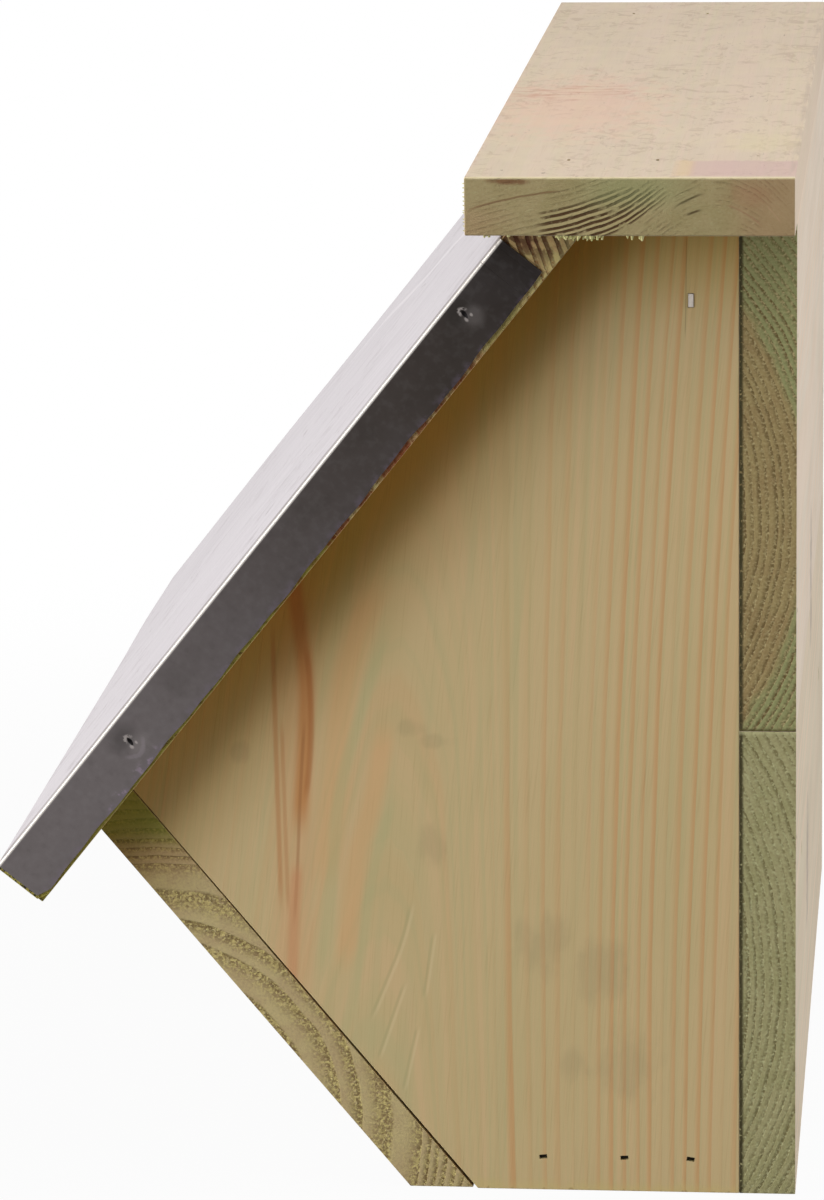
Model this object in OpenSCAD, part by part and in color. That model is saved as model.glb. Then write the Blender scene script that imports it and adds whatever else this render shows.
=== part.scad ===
// Swift nest box: a timber box for a wall, with a steep roof under a folded metal sheet.
// X runs along the box, +Y faces the wall and +Z is up. The origin is the middle of the
// box's extent at its base. A place across the box is written as two distances: forward
// from the wall face, and up from the base.

/* [Body] */
// Length of the back boards and of the front board
body_l = 352; // [260:1:600]
// Height from the base to the underside of the top board
body_h = 298; // [270:1:380]
// Thickness of the two back boards
back_t = 17; // [12:0.5:25]
// Height of the lower back board
lower_back_h = 145; // [110:1:185]
// Thickness of each side panel
side_t = 17; // [12:0.5:25]
// Depth of a side panel along its top edge
side_top_d = 44; // [38:0.5:60]
// Depth of a side panel along its foot
side_foot_d = 79.5; // [65:0.5:100]
// Thickness of the floor board
floor_t = 17; // [14:0.5:25]

/* [Batten] */
// Depth of the batten in the upper rear corner
batten_d = 28; // [18:0.5:36]
// Height of the batten
batten_h = 46; // [30:1:60]

/* [Roof boards] */
// Slope of the roof below the horizontal, in degrees
roof_slope = 51.2; // [46:0.1:56]
// Length of the roof's underside, down the slope from the top board
roof_len = 262.5; // [246:0.5:320]
// Thickness of the roof boards
roof_t = 17; // [12:0.5:25]
// Width of the lower roof board
lower_roof_w = 145; // [110:1:170]
// Overhang of the roof boards past the body at each end
roof_over = 12.5; // [6:0.5:30]

/* [Roof sheet] */
// Thickness of the metal sheet
sheet_t = 0.6; // [0.4:0.1:1.2]
// Strip of roof board left bare between the top board and the sheet
sheet_start = 3.8; // [2:0.1:15]
// Strip of board end left bare below each folded flange
flange_rise = 1.6; // [0:0.1:5]
// Corner cut off each flange at its lower end
flange_cut = 3; // [1:0.5:6]

/* [Top board] */
// Depth of the top board
top_d = 95; // [88:0.5:130]
// Thickness of the top board
top_t = 17; // [12:0.5:25]
// Overhang of the top board past the body at each end
top_over = 24; // [10:0.5:50]

/* [Front board] */
// Slope of the front board above the horizontal, in degrees
front_slope = 50.5; // [46:0.1:56]
// Thickness of the front board
front_t = 15.5; // [11:0.5:20]
// Clearance between the front board and the edges that it closes
seat_gap = 0.3; // [0.2:0.1:1]
// Clearance between the front board's upper edge and the roof
mitre_gap = 0.5; // [0.3:0.1:1.5]
// Height of the front board's foot above the base
foot_gap = 0.3; // [0.1:0.1:2]

/* [Entrance] */
// Length of the entrance slot along the box
slot_l = 65; // [45:1:90]
// Height of the entrance slot up the front board
slot_h = 30; // [26:0.5:36]
// Distance of the slot's middle up the front board from the base
slot_up = 50; // [42:1:80]
// Distance of the slot's middle from the front board's left end
slot_in = 85; // [70:1:120]

/* [Wall screw holes] */
// Diameter of each hole through the lower back board
wall_hole_d = 5.5; // [4:0.5:8]
// Height of the holes above the base
wall_hole_up = 90; // [50:1:100]
// Distance between the two holes
wall_hole_spacing = 220; // [120:1:240]

/* [Brads] */
// Width of a brad's square shank
brad_w = 1.3; // [1:0.1:1.4]
// Length of the brads that hold the boards
brad_len = 38; // [32:1:44]
// Length of the brads that hold the roof sheet
short_brad_len = 25; // [15:1:35]
// Length of a brad's head
brad_head_l = 2.8; // [2:0.1:4]
// Width of a brad's head
brad_head_w = 1.5; // [1.5:0.1:2]
// Thickness of a brad's head
brad_head_t = 0.5; // [0.4:0.1:0.8]
// Depth of a sunk head below the wood's face
brad_sink = 1.5; // [0.8:0.1:2.5]
// Length of the larger heads on the brads into the batten
large_head_l = 3.9; // [3:0.1:5]
// Height that the larger heads stand proud
large_head_proud = 0.3; // [0.1:0.1:0.5]
// Clearance around a brad in its hole
brad_fit = 0.05; // [0.03:0.01:0.1]
// Distance of each back board brad from its board's upper or lower edge
back_brad_edge = 35; // [25:1:45]
// Distance of each roof board brad from its board's edge or from the front corner
roof_brad_edge = 30; // [26:1:35]
// Distance of the rear top board brads forward of the back boards
top_brad_rear = 24; // [20:1:30]
// Distance of the front top board brads behind the top board's front edge
top_brad_front = 28; // [24:1:35]

/* [Floor brads] */
// Height of the floor brads above the base
floor_brad_up = 10.6; // [6:0.1:12]
// Distance of the rear floor brad forward of the back boards
floor_brad_rear = 14.7; // [8:0.1:20]
// Distance of the front floor brad behind the side panel's foot corner
floor_brad_front = 20; // [10:0.5:25]
// Distance that the middle floor brad strays to the rear
floor_brad_stray = 2.3; // [0:0.1:8]

/* [Flange brads] */
// Distance of the upper flange brad down the slope from the top board
flange_brad_upper = 41.5; // [25:0.5:80]
// Depth of the upper flange brad below the sheet
flange_brad_upper_drop = 6; // [5:0.5:9]
// Distance of the lower flange brad up from the roof's lower end
flange_brad_lower = 56; // [20:0.5:90]
// Depth of the lower flange brad below the sheet
flange_brad_lower_drop = 8; // [5:0.5:9]
// Radius of the dent that each flange brad pressed into the sheet
dent_r = 4; // [3.5:0.1:4.5]
// Radius of the dent's bottom, which holds the brad's head
dent_floor_r = 2.2; // [1.8:0.1:2.6]
// Depth of the dent
dent_depth = 1.2; // [0.8:0.1:2]

/* [Front board screws] */
// Diameter of each screw's shank
screw_d = 4; // [3:0.5:5]
// Diameter of each countersunk head
screw_head_d = 8; // [7:0.5:10]
// Length of each screw
screw_len = 40; // [30:1:50]
// Depth of the head's middle below the board's face
screw_sink = 1.1; // [1:0.1:2]
// Clearance around a screw in the side panel
screw_fit = 0.1; // [0.05:0.01:0.2]
// Clearance around a screw in the front board
screw_play = 0.25; // [0.2:0.05:0.5]
// Distance of the lower screws up the front board from the base
screw_low = 32; // [28:1:45]
// Distance of the upper screws below the front board's upper edge
screw_high = 34; // [28:1:45]

/* [Hidden] */
$fn = 64;
// A cut runs this far past the face that it opens
past = 1;

foot = back_t + side_foot_d;
roof_foot = back_t + side_top_d;
roof_l = body_l + 2 * roof_over;
top_l = body_l + 2 * top_over;
inner_l = body_l - 2 * side_t;
side_mid = (body_l - side_t) / 2;
side_cos = cos(front_slope + roof_slope);
side_sin = sin(front_slope + roof_slope);

// A point on the roof, t down the slope from the top board and n above the underside
function roof_forward(t, n) = roof_foot + t * cos(roof_slope) + n * sin(roof_slope);
function roof_up(t, n) = body_h - t * sin(roof_slope) + n * cos(roof_slope);

// The sheet's lower edge reaches furthest forward
box_d = roof_forward(roof_len, roof_t + sheet_t);
wall_y = box_d / 2;
function at(forward, up) = [wall_y - forward, up];
function on_roof(t, n) = at(roof_forward(t, n), roof_up(t, n));

// A point on the front, s up the slope of its edges and e out from them
function front_forward(s, e) = foot + s * cos(front_slope) + e * sin(front_slope);
function front_up(s, e) = s * sin(front_slope) - e * cos(front_slope);
function on_front(s, e) = at(front_forward(s, e), front_up(s, e));
// How far up the slope a line e out from the edges meets a height, or the roof less a gap
function front_at_height(e, up) = (up + e * cos(front_slope)) / sin(front_slope);
function front_at_roof(e, gap) =
    ((side_top_d - side_foot_d) * sin(roof_slope) + body_h * cos(roof_slope) + e * side_cos - gap)
    / side_sin;
front_out = seat_gap + front_t;
knee_s = front_at_roof(0, 0);
knee_t = (body_h * cos(front_slope) - (side_top_d - side_foot_d) * sin(front_slope)) / side_sin;

// The roof's upper face starts this far down the slope, where it meets the top board
upper_face_t = roof_t / tan(roof_slope);
roof_joint_t = roof_len - lower_roof_w;
sheet_top_t = upper_face_t + sheet_start;
sheet_out = roof_l / 2 + sheet_t;
batten_mid_d = back_t + batten_d / 2;
batten_mid_up = body_h - batten_h / 2;
top_brad_depths = [back_t + top_brad_rear, top_d - top_brad_front];
floor_brad_first = back_t + floor_brad_rear;
floor_brad_last = foot - floor_brad_front;
floor_brad_middle = (floor_brad_first + floor_brad_last) / 2 - floor_brad_stray;
floor_brad_depths = [floor_brad_first, floor_brad_middle, floor_brad_last];
upper_roof_brads_t = [roof_brad_edge, roof_joint_t - roof_brad_edge];
lower_roof_brads_t = [roof_joint_t + roof_brad_edge, knee_t - roof_brad_edge];
screw_places = [screw_low, front_at_roof(front_out, mitre_gap) - screw_high];
screw_head_h = (screw_head_d - screw_d) / 2;
screw_tip_r = 0.2;

timber = [0.72, 0.63, 0.45];
pale_timber = [0.81, 0.76, 0.68];
zinc = [0.80, 0.79, 0.80];
steel = [0.62, 0.60, 0.57];

// Draws a cross-section of the box along its length
module along_box(length) {
    rotate([90, 0, 90])
        linear_extrude(length, center = true)
            children();
}

module at_both_ends() {
    for (end = [0, 1])
        mirror([end, 0, 0])
            children();
}

// Turns what stands up from a face at z = 0 to stand out from the right-hand end
module facing_end() {
    rotate([0, 90, 0])
        children();
}

// A brad driven down through z = 0, its head sunk by the given depth
module brad(length, sink = brad_sink, head_l = brad_head_l) {
    translate([-head_l / 2, -brad_head_w / 2, -sink - brad_head_t])
        cube([head_l, brad_head_w, brad_head_t]);
    translate([0, brad_w / 2, -sink - brad_head_t])
        rotate([90, 0, 0])
            linear_extrude(brad_w)
                polygon([[-brad_w / 2, 0], [brad_w / 2, 0], [brad_w / 2, brad_w - length],
                    [0, -length], [-brad_w / 2, brad_w - length]]);
}

module brad_hole(length, sink = brad_sink, head_l = brad_head_l) {
    bore = brad_w + 2 * brad_fit;
    pit_l = head_l + 2 * brad_fit;
    pit_w = brad_head_w + 2 * brad_fit;
    translate([-pit_l / 2, -pit_w / 2, -sink - brad_head_t])
        cube([pit_l, pit_w, sink + brad_head_t + past]);
    translate([-bore / 2, -bore / 2, -sink - brad_head_t - length - brad_fit])
        cube([bore, bore, length + brad_head_t]);
}

// The hollow that a brad pressed into the face at z = 0
module dent() {
    translate([0, 0, -dent_depth])
        cylinder(h = dent_depth, r1 = dent_floor_r, r2 = dent_r);
}

// A countersunk screw with its head's middle sunk below z = 0
module screw() {
    neck = -screw_sink - screw_head_h;
    taper = screw_d - screw_len;
    difference() {
        union() {
            translate([0, 0, neck])
                cylinder(h = screw_head_h, r1 = screw_d / 2, r2 = screw_head_d / 2);
            translate([0, 0, taper])
                cylinder(h = neck - taper, d = screw_d);
            translate([0, 0, -screw_len])
                cylinder(h = screw_d, r1 = screw_tip_r, r2 = screw_d / 2);
        }
        for (turn = [0, 90])
            rotate(turn)
                translate([-screw_d / 2, -screw_d / 8, -screw_sink - screw_head_h * 0.7])
                    cube([screw_d, screw_d / 4, screw_head_h]);
    }
}

module screw_bore() {
    depth = screw_len + past;
    translate([0, 0, -depth])
        cylinder(h = depth, d = screw_d + 2 * screw_fit);
}

module screw_pit() {
    neck = -screw_sink - screw_head_h;
    throat = screw_d / 2 + screw_play;
    mouth = screw_head_d / 2 + screw_play;
    translate([0, 0, neck])
        cylinder(h = screw_head_h, r1 = throat, r2 = mouth);
    translate([0, 0, -screw_sink])
        cylinder(h = screw_sink + 2 * past, r = mouth);
    translate([0, 0, -screw_len])
        cylinder(h = screw_len, r = throat);
}

module top_brad_places() {
    at_both_ends()
        for (depth = top_brad_depths)
            translate([side_mid, wall_y - depth, body_h + top_t])
                children();
}

module back_brad_places(bottom, top) {
    at_both_ends()
        for (up = [bottom + back_brad_edge, top - back_brad_edge])
            translate([side_mid, wall_y, up])
                rotate([-90, 0, 0])
                    children();
}

module upper_back_brad_places() {
    back_brad_places(lower_back_h, body_h)
        children();
}

module lower_back_brad_places() {
    back_brad_places(0, lower_back_h)
        children();
}

module floor_brad_places() {
    at_both_ends()
        for (depth = floor_brad_depths)
            translate([body_l / 2, wall_y - depth, floor_brad_up])
                facing_end()
                    rotate(90)
                        children();
}

module batten_brad_places() {
    at_both_ends()
        translate([body_l / 2, wall_y - batten_mid_d, batten_mid_up])
            facing_end()
                children();
}

module roof_brad_places(places) {
    at_both_ends()
        for (t = places)
            translate([side_mid, on_roof(t, roof_t)[0], on_roof(t, roof_t)[1]])
                rotate([roof_slope, 0, 0])
                    children();
}

// Places on the flanges' outer faces, t down the slope and drop below the sheet
module flange_places(t, drop) {
    place = on_roof(t, roof_t + sheet_t - drop);
    at_both_ends()
        translate([sheet_out, place[0], place[1]])
            rotate([roof_slope, 0, 0])
                facing_end()
                    children();
}

module upper_flange_places() {
    flange_places(flange_brad_upper, flange_brad_upper_drop)
        children();
}

module lower_flange_places() {
    flange_places(roof_len - flange_brad_lower, flange_brad_lower_drop)
        children();
}

// Seats the sheet's dent and its brad in the end of a roof board
module flange_seat() {
    translate([0, 0, -sheet_t]) {
        dent();
        cylinder(h = past, r = dent_r);
    }
    brad_hole(short_brad_len, dent_depth);
}

// The screws lie along the way that the front board comes off, which follows the roof
module screw_place() {
    at_both_ends()
        for (s = screw_places)
            translate([side_mid, on_front(s, front_out)[0], on_front(s, front_out)[1]])
                rotate([90 + roof_slope, 0, 0])
                    children();
}

module top_board() {
    color(pale_timber)
        difference() {
            translate([-top_l / 2, wall_y - top_d, body_h])
                cube([top_l, top_d, top_t]);
            top_brad_places() brad_hole(brad_len);
        }
}

module upper_back_board() {
    color(timber)
        difference() {
            translate([-body_l / 2, wall_y - back_t, lower_back_h])
                cube([body_l, back_t, body_h - lower_back_h]);
            upper_back_brad_places() brad_hole(brad_len);
        }
}

module lower_back_board() {
    color(timber)
        difference() {
            translate([-body_l / 2, wall_y - back_t, 0])
                cube([body_l, back_t, lower_back_h]);
            lower_back_brad_places() brad_hole(brad_len);
            for (side = [-1, 1])
                translate([side * wall_hole_spacing / 2, wall_y + past, wall_hole_up])
                    rotate([90, 0, 0])
                        cylinder(h = back_t + 2 * past, d = wall_hole_d);
        }
}

// A side panel closes one end of the box, with the roof and the front on its sloping edges
module side_panel() {
    color(timber)
        difference() {
            translate([side_mid, 0, 0])
                along_box(side_t)
                    polygon([at(back_t, 0), at(foot, 0), on_front(knee_s, 0),
                        at(roof_foot, body_h), at(back_t, body_h)]);
            top_brad_places() brad_hole(brad_len);
            upper_back_brad_places() brad_hole(brad_len);
            lower_back_brad_places() brad_hole(brad_len);
            floor_brad_places() brad_hole(brad_len);
            batten_brad_places() brad_hole(brad_len, -large_head_proud, large_head_l);
            roof_brad_places(upper_roof_brads_t) brad_hole(brad_len);
            roof_brad_places(lower_roof_brads_t) brad_hole(brad_len);
            screw_place() screw_bore();
        }
}

module right_side_panel() {
    side_panel();
}

module left_side_panel() {
    mirror([1, 0, 0])
        side_panel();
}

module floor_board() {
    color(timber)
        difference() {
            along_box(inner_l)
                polygon([at(back_t, 0), at(foot, 0),
                    on_front(front_at_height(0, floor_t), 0), at(back_t, floor_t)]);
            floor_brad_places() brad_hole(brad_len);
        }
}

module top_batten() {
    color(timber)
        difference() {
            translate([-inner_l / 2, wall_y - back_t - batten_d, body_h - batten_h])
                cube([inner_l, batten_d, batten_h]);
            batten_brad_places() brad_hole(brad_len, -large_head_proud, large_head_l);
        }
}

module upper_roof_board() {
    color(timber)
        difference() {
            along_box(roof_l)
                polygon([on_roof(0, 0), on_roof(upper_face_t, roof_t),
                    on_roof(roof_joint_t, roof_t), on_roof(roof_joint_t, 0)]);
            top_brad_places() brad_hole(brad_len);
            roof_brad_places(upper_roof_brads_t) brad_hole(brad_len);
            upper_flange_places() flange_seat();
        }
}

module lower_roof_board() {
    color(timber)
        difference() {
            along_box(roof_l)
                polygon([on_roof(roof_joint_t, 0), on_roof(roof_joint_t, roof_t),
                    on_roof(roof_len, roof_t), on_roof(roof_len, 0)]);
            roof_brad_places(lower_roof_brads_t) brad_hole(brad_len);
            lower_flange_places() flange_seat();
        }
}

// The sheet lies on the roof boards and folds down over their ends
module folded_sheet() {
    difference() {
        along_box(2 * sheet_out)
            polygon([on_roof(sheet_top_t, flange_rise),
                on_roof(sheet_top_t, roof_t + sheet_t),
                on_roof(roof_len, roof_t + sheet_t),
                on_roof(roof_len, flange_rise + flange_cut),
                on_roof(roof_len - flange_cut, flange_rise)]);
        along_box(roof_l)
            polygon([on_roof(0, -past), on_roof(0, roof_t),
                on_roof(roof_len + past, roof_t), on_roof(roof_len + past, -past)]);
    }
}

// The sheet's metal behind a dent
module dent_back() {
    translate([0, 0, -sheet_t]) {
        dent();
        cylinder(h = sheet_t / 2, r = dent_r);
    }
}

module dent_hollow() {
    dent();
    cylinder(h = past, r = dent_r);
    translate([0, 0, -dent_depth])
        brad_hole(short_brad_len, -brad_head_t);
}

module roof_sheet() {
    color(zinc)
        difference() {
            union() {
                folded_sheet();
                upper_flange_places() dent_back();
                lower_flange_places() dent_back();
            }
            upper_flange_places() dent_hollow();
            lower_flange_places() dent_hollow();
        }
}

// An oval through the front board, its round ends drawn as circles
module entrance() {
    reach = (slot_l - slot_h) / 2;
    place = on_front(slot_up, -past);
    translate([slot_in - body_l / 2, place[0], place[1]])
        rotate([180 - front_slope, 0, 0])
            linear_extrude(front_out + 2 * past) {
                square([2 * reach, slot_h], center = true);
                for (side = [-1, 1])
                    translate([side * reach, 0])
                        circle(d = slot_h);
            }
}

module front_board() {
    color(timber)
        difference() {
            along_box(body_l)
                polygon([on_front(front_at_height(seat_gap, foot_gap), seat_gap),
                    on_front(front_at_height(front_out, foot_gap), front_out),
                    on_front(front_at_roof(front_out, mitre_gap), front_out),
                    on_front(front_at_roof(seat_gap, mitre_gap), seat_gap)]);
            entrance();
            screw_place() screw_pit();
        }
}

module top_board_brads() {
    color(steel)
        top_brad_places() brad(brad_len);
}

module upper_back_brads() {
    color(steel)
        upper_back_brad_places() brad(brad_len);
}

module lower_back_brads() {
    color(steel)
        lower_back_brad_places() brad(brad_len);
}

module floor_brads() {
    color(steel)
        floor_brad_places() brad(brad_len);
}

module batten_brads() {
    color(steel)
        batten_brad_places() brad(brad_len, -large_head_proud, large_head_l);
}

module upper_roof_brads() {
    color(steel)
        roof_brad_places(upper_roof_brads_t) brad(brad_len);
}

module lower_roof_brads() {
    color(steel)
        roof_brad_places(lower_roof_brads_t) brad(brad_len);
}

module sheet_brads() {
    color(steel) {
        upper_flange_places() brad(short_brad_len, dent_depth - brad_head_t);
        lower_flange_places() brad(short_brad_len, dent_depth - brad_head_t);
    }
}

module front_board_screws() {
    color(steel)
        screw_place() screw();
}

top_board();
upper_back_board();
lower_back_board();
right_side_panel();
left_side_panel();
floor_board();
top_batten();
upper_roof_board();
lower_roof_board();
roof_sheet();
front_board();
top_board_brads();
upper_back_brads();
lower_back_brads();
floor_brads();
batten_brads();
upper_roof_brads();
lower_roof_brads();
sheet_brads();
front_board_screws();
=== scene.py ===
import math
import random

import bpy
from mathutils import Matrix, Vector


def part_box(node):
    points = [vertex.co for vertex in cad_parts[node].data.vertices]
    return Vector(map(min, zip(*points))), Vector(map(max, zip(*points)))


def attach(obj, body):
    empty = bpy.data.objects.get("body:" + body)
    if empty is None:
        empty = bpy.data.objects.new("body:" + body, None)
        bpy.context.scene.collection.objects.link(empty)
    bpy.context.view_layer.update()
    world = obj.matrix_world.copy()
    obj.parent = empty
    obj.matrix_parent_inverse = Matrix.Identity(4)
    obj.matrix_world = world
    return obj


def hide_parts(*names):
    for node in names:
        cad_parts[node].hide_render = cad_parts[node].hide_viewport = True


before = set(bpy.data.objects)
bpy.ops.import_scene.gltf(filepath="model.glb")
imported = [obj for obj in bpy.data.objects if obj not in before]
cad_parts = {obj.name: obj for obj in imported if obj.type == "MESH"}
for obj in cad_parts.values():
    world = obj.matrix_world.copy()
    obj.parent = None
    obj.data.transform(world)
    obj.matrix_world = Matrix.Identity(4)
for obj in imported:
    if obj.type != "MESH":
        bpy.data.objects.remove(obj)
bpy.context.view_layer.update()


# Side panels: two five-sided ends of pressure-treated pine, 17 mm thick with upright grain.
# Each is sawn from one wide board along the lines of the roof and the front, and the roof,
# back, floor and batten are nailed to it.

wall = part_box("upper_back_board")[1].y
panel_outside = 176
panel_inside = 159
nail_line = 167.5
wood_thick = 17
body_top = 298
roof_start = 61
front_start = 96.5
roof_slope = 51.2
front_slope = 50.5
roof_turn = math.radians(roof_slope)
front_turn = math.radians(front_slope)
sheds = Vector((0, -math.sin(roof_turn), math.cos(roof_turn)))
leans = Vector((0, -math.sin(front_turn), -math.cos(front_turn)))


def spot(along, forward, up):
    """A place in millimetres: along the box, forward of the wall and above the base."""
    return Vector((along / 1000, wall - forward / 1000, up / 1000))


def roof_spot(along, down, rise):
    """A place in millimetres: along the box, down the roof and out from its underside."""
    forward = roof_start + down * math.cos(roof_turn) + rise * math.sin(roof_turn)
    return spot(along, forward, body_top - down * math.sin(roof_turn) + rise * math.cos(roof_turn))


def front_spot(along, up_slope, out):
    """A place in millimetres: along the box, up the front board and out from its seat."""
    forward = front_start + up_slope * math.cos(front_turn) + out * math.sin(front_turn)
    return spot(along, forward, up_slope * math.sin(front_turn) - out * math.cos(front_turn))


roof_hinge = spot(0, roof_start, body_top)
front_hinge = spot(0, front_start, 0)


def put_down():
    bpy.ops.object.select_all(action="DESELECT")


def take_up(piece):
    put_down()
    piece.select_set(True)
    bpy.context.view_layer.objects.active = piece


def set_in_place(piece, name, tilt=0.0, hinge=(0, 0, 0)):
    """Tilts a piece made at the origin about X, carries it to its hinge and fixes it there."""
    take_up(piece)
    bpy.ops.object.transform_apply(location=True, rotation=True, scale=True)
    piece.rotation_euler = (math.radians(tilt), 0, 0)
    piece.location = hinge
    bpy.ops.object.transform_apply(location=True, rotation=True, scale=True)
    piece.name = name
    piece.data.name = name
    return piece


def block(low, high):
    """A squared block between two corners in metres."""
    low = Vector(low)
    high = Vector(high)
    put_down()
    bpy.ops.mesh.primitive_cube_add(size=1, location=(low + high) / 2, scale=high - low)
    return bpy.context.object


def saw(board, place, waste):
    """Saws a board through a place and drops the side that waste points to."""
    take_up(board)
    bpy.ops.object.mode_set(mode="EDIT")
    bpy.ops.mesh.select_all(action="SELECT")
    bpy.ops.mesh.bisect(plane_co=place, plane_no=waste, use_fill=True, clear_outer=True)
    bpy.ops.object.mode_set(mode="OBJECT")


def ease(board, width):
    """Takes the sharpness off every edge."""
    take_up(board)
    rounding = board.modifiers.new("eased edges", "BEVEL")
    rounding.width = width
    rounding.segments = 2
    rounding.limit_method = "ANGLE"
    rounding.angle_limit = math.radians(30)
    bpy.ops.object.modifier_apply(modifier=rounding.name)


def smooth(piece, angle):
    """Smooths the curved parts of a piece and keeps the flat parts beside them flat."""
    take_up(piece)
    bpy.ops.object.shade_smooth_by_angle(angle=math.radians(angle))
    flatness = piece.modifiers.new("flat faces", "WEIGHTED_NORMAL")
    flatness.keep_sharp = True
    bpy.ops.object.modifier_apply(modifier=flatness.name)


def cut_out(board, cutters):
    """Cuts the shapes of some cutters out of a board and throws the cutters away."""
    take_up(cutters[0])
    for cutter in cutters:
        cutter.select_set(True)
    if len(cutters) > 1:
        bpy.ops.object.join()
    cutter = bpy.context.object
    take_up(board)
    cut = board.modifiers.new("cut", "BOOLEAN")
    cut.operation = "DIFFERENCE"
    cut.solver = "EXACT"
    cut.object = cutter
    bpy.ops.object.modifier_apply(modifier=cut.name)
    bpy.data.objects.remove(cutter)


def nail_pit(place, way, length_way, length=2.9, width=1.6, depth=2.0):
    """A cutter for the pit over a sunk nail head. Way points out of the wood."""
    put_down()
    bpy.ops.mesh.primitive_cube_add(size=1)
    cutter = bpy.context.object
    cutter.scale = (length / 1000, width / 1000, 2 * depth / 1000)
    out = Vector(way).normalized()
    long = Vector(length_way).normalized()
    cutter.rotation_mode = "QUATERNION"
    cutter.rotation_quaternion = frame_turn((long, out.cross(long), out))
    cutter.location = place
    return cutter


def frame_turn(turn):
    """The turn that lays X, Y and Z along three given ways."""
    return Matrix(turn).transposed().to_quaternion()


def bore(place, way, radius, depth):
    """A round cutter that goes in from a place against the way that it faces."""
    out = Vector(way).normalized()
    past = 1.0
    length = (depth + past) / 1000
    put_down()
    bpy.ops.mesh.primitive_cylinder_add(
        vertices=48,
        radius=radius / 1000,
        depth=length,
        location=place + out * (past / 1000 - length / 2),
        rotation=out.to_track_quat("Z", "Y").to_euler(),
    )
    return bpy.context.object


screw_runs = [front_spot(end * nail_line, up, 15.8) for end in (-1, 1) for up in (32, 124.7)]
screw_way = Vector((0, -sheds.z, sheds.y))


def side_panel(end, name):
    low = spot(0, 205, 0)
    high = spot(0, wood_thick, body_top)
    low.x, high.x = sorted((end * panel_inside / 1000, end * panel_outside / 1000))
    board = set_in_place(block(low, high), name)
    saw(board, roof_hinge, sheds)
    saw(board, front_hinge, leans)
    near_runs = [run for run in screw_runs if run.x * end > 0]
    cut_out(board, [bore(run, screw_way, radius=2.1, depth=41) for run in near_runs])
    ease(board, 0.00022)
    out = (end, 0, 0)
    pits = [
        nail_pit(spot(end * panel_outside, forward, up), out, (0, 1, tip), length=2.4, width=1.3)
        for forward, up, tip in ((31.7, 10.6, -0.15), (51.8, 10.7, 0.05), (76.5, 10.6, 0.1))
    ]
    batten_nail = spot(end * panel_outside, 31, 275)
    pits.append(nail_pit(batten_nail, out, (0, 0, 1), length=4.3, width=1.9, depth=0.6))
    cut_out(board, pits)
    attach(board, "box")
    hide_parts(name)
    return board


def shown(red, green, blue):
    """A colour as it shows on a screen, 0 to 255, as the amounts of light that it is."""
    levels = [channel / 255 for channel in (red, green, blue)]
    light = [c / 12.92 if c < 0.04045 else ((c + 0.055) / 1.055) ** 2.4 for c in levels]
    return (*light, 1.0)


class Flow:
    """A number, colour or vector on its way through some wiring."""

    def __init__(self, wiring, socket):
        self.wiring = wiring
        self.socket = socket

    def sum_up(self, operation, first, second):
        settings = {"operation": operation}
        return self.wiring.node("ShaderNodeMath", settings, {0: first, 1: second})

    def __add__(self, other):
        return self.sum_up("ADD", self, other)

    def __radd__(self, other):
        return self.sum_up("ADD", other, self)

    def __sub__(self, other):
        return self.sum_up("SUBTRACT", self, other)

    def __rsub__(self, other):
        return self.sum_up("SUBTRACT", other, self)

    def __mul__(self, other):
        return self.sum_up("MULTIPLY", self, other)

    def __rmul__(self, other):
        return self.sum_up("MULTIPLY", other, self)

    def __truediv__(self, other):
        return self.sum_up("DIVIDE", self, other)

    def __rtruediv__(self, other):
        return self.sum_up("DIVIDE", other, self)

    def __pow__(self, other):
        return self.sum_up("POWER", self, other)

    def __abs__(self):
        return self.sum_up("ABSOLUTE", self, 0.0)


class Wiring:
    """The nodes of a material or of the backdrop, all added by one method."""

    def __init__(self, tree):
        self.tree = tree

    def node(self, kind, settings=None, inputs=None, output=0):
        node = self.tree.nodes.new(kind)
        for setting, choice in (settings or {}).items():
            if setting == "route":
                line = node.mapping.curves[0]
                while len(line.points) < len(choice):
                    line.points.new(1.0, 1.0)
                for point, place in zip(line.points, choice):
                    point.location = place
                node.mapping.update()
            else:
                setattr(node, setting, choice)
        for socket, value in (inputs or {}).items():
            self.feed(node.inputs[socket], value)
        return Flow(self, node.outputs[output])

    def feed(self, socket, value):
        if isinstance(value, Flow):
            self.tree.links.new(value.socket, socket)
        else:
            socket.default_value = value

    def join(self, x, y, z):
        return self.node("ShaderNodeCombineXYZ", {}, {0: x, 1: y, 2: z})

    def parts(self, vector):
        return [self.node("ShaderNodeSeparateXYZ", {}, {0: vector}, way) for way in range(3)]

    def noise(self, vector, detail=2.0, roughness=0.5, distortion=0.0):
        inputs = {"Vector": vector, "Scale": 1.0, "Detail": detail, "Roughness": roughness}
        inputs["Distortion"] = distortion
        return self.node("ShaderNodeTexNoise", {}, inputs)

    def step(self, value, low, high, start=0.0, end=1.0):
        inputs = {0: value, 1: low, 2: high, 3: start, 4: end}
        return self.node("ShaderNodeMapRange", {"interpolation_type": "SMOOTHSTEP"}, inputs)

    def floor(self, value):
        return self.node("ShaderNodeMath", {"operation": "FLOOR"}, {0: value})

    def most(self, first, second):
        return self.node("ShaderNodeMath", {"operation": "MAXIMUM"}, {0: first, 1: second})

    def over(self, mask, under, colour, kind="MIX"):
        settings = {"data_type": "RGBA", "blend_type": kind}
        return self.node("ShaderNodeMix", settings, {0: mask, 6: under, 7: colour}, 2)


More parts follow.
